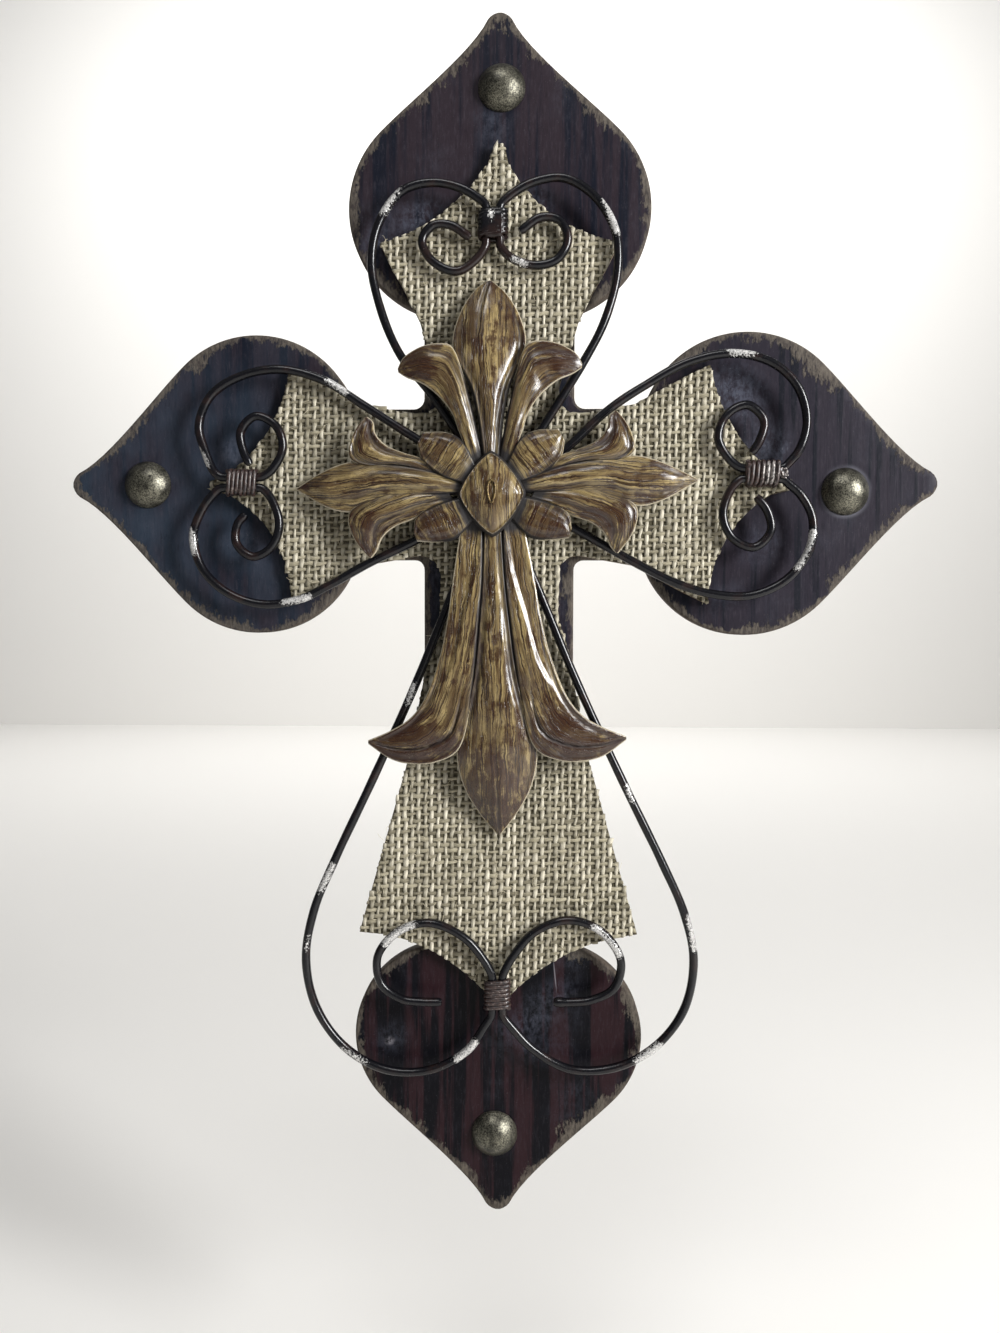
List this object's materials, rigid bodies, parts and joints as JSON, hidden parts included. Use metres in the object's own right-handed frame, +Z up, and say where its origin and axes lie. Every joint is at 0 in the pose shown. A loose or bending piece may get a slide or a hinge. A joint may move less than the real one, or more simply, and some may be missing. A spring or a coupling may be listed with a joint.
{
  "type": "wall cross",
  "caption": "Layered wall cross: painted board with spade-shaped ends, burlap panel, scrolled wires, leaf ornament, domed nails and a sawtooth hanger.",
  "frame": {"origin": "where the wall's nail bears, at the root of the middle notch of the sawtooth hanger, in the plane of the wall", "axes": "+Z up the cross, -Y out of the wall towards the viewer, +X to the viewer's right"},
  "size_m": [0.3236, 0.0305, 0.45],
  "materials": {
    "painted_board": "fibreboard painted near-black brown with darker vertical grain, satin, rubbed to tan at the rims",
    "fibreboard": "thin fibreboard under the burlap, bare edge",
    "burlap": "coarse plain-weave jute, natural greige",
    "black_wire": "steel wire, dark brown-black satin paint, scraped to silver in places",
    "aged_brass": "antiqued brass plating, mottled dark, domes polished on top",
    "grained_metal": "stamped metal painted as ochre wood with umber grain, glossy varnish",
    "plain_steel": "zinc-plated steel"
  },
  "bodies": {
    "root": {"base_board": "painted_board", "burlap_backing": "fibreboard", "burlap_facing": "burlap", "scroll_top_left": "black_wire", "scroll_top_right": "black_wire", "scroll_left_upper": "black_wire", "scroll_left_lower": "black_wire", "scroll_right_upper": "black_wire", "scroll_right_lower": "black_wire", "scroll_bottom_left": "black_wire", "scroll_bottom_right": "black_wire", "collar_top": "black_wire", "collar_left": "black_wire", "collar_right": "black_wire", "collar_bottom": "black_wire", "nail_top": "aged_brass", "nail_left": "aged_brass", "nail_right": "aged_brass", "nail_bottom": "aged_brass", "leaf_ornament": "grained_metal", "centre_pin": "aged_brass", "sawtooth_hanger": "plain_steel", "hanger_nail_left": "plain_steel", "hanger_nail_right": "plain_steel"}
  },
  "joints": []
}
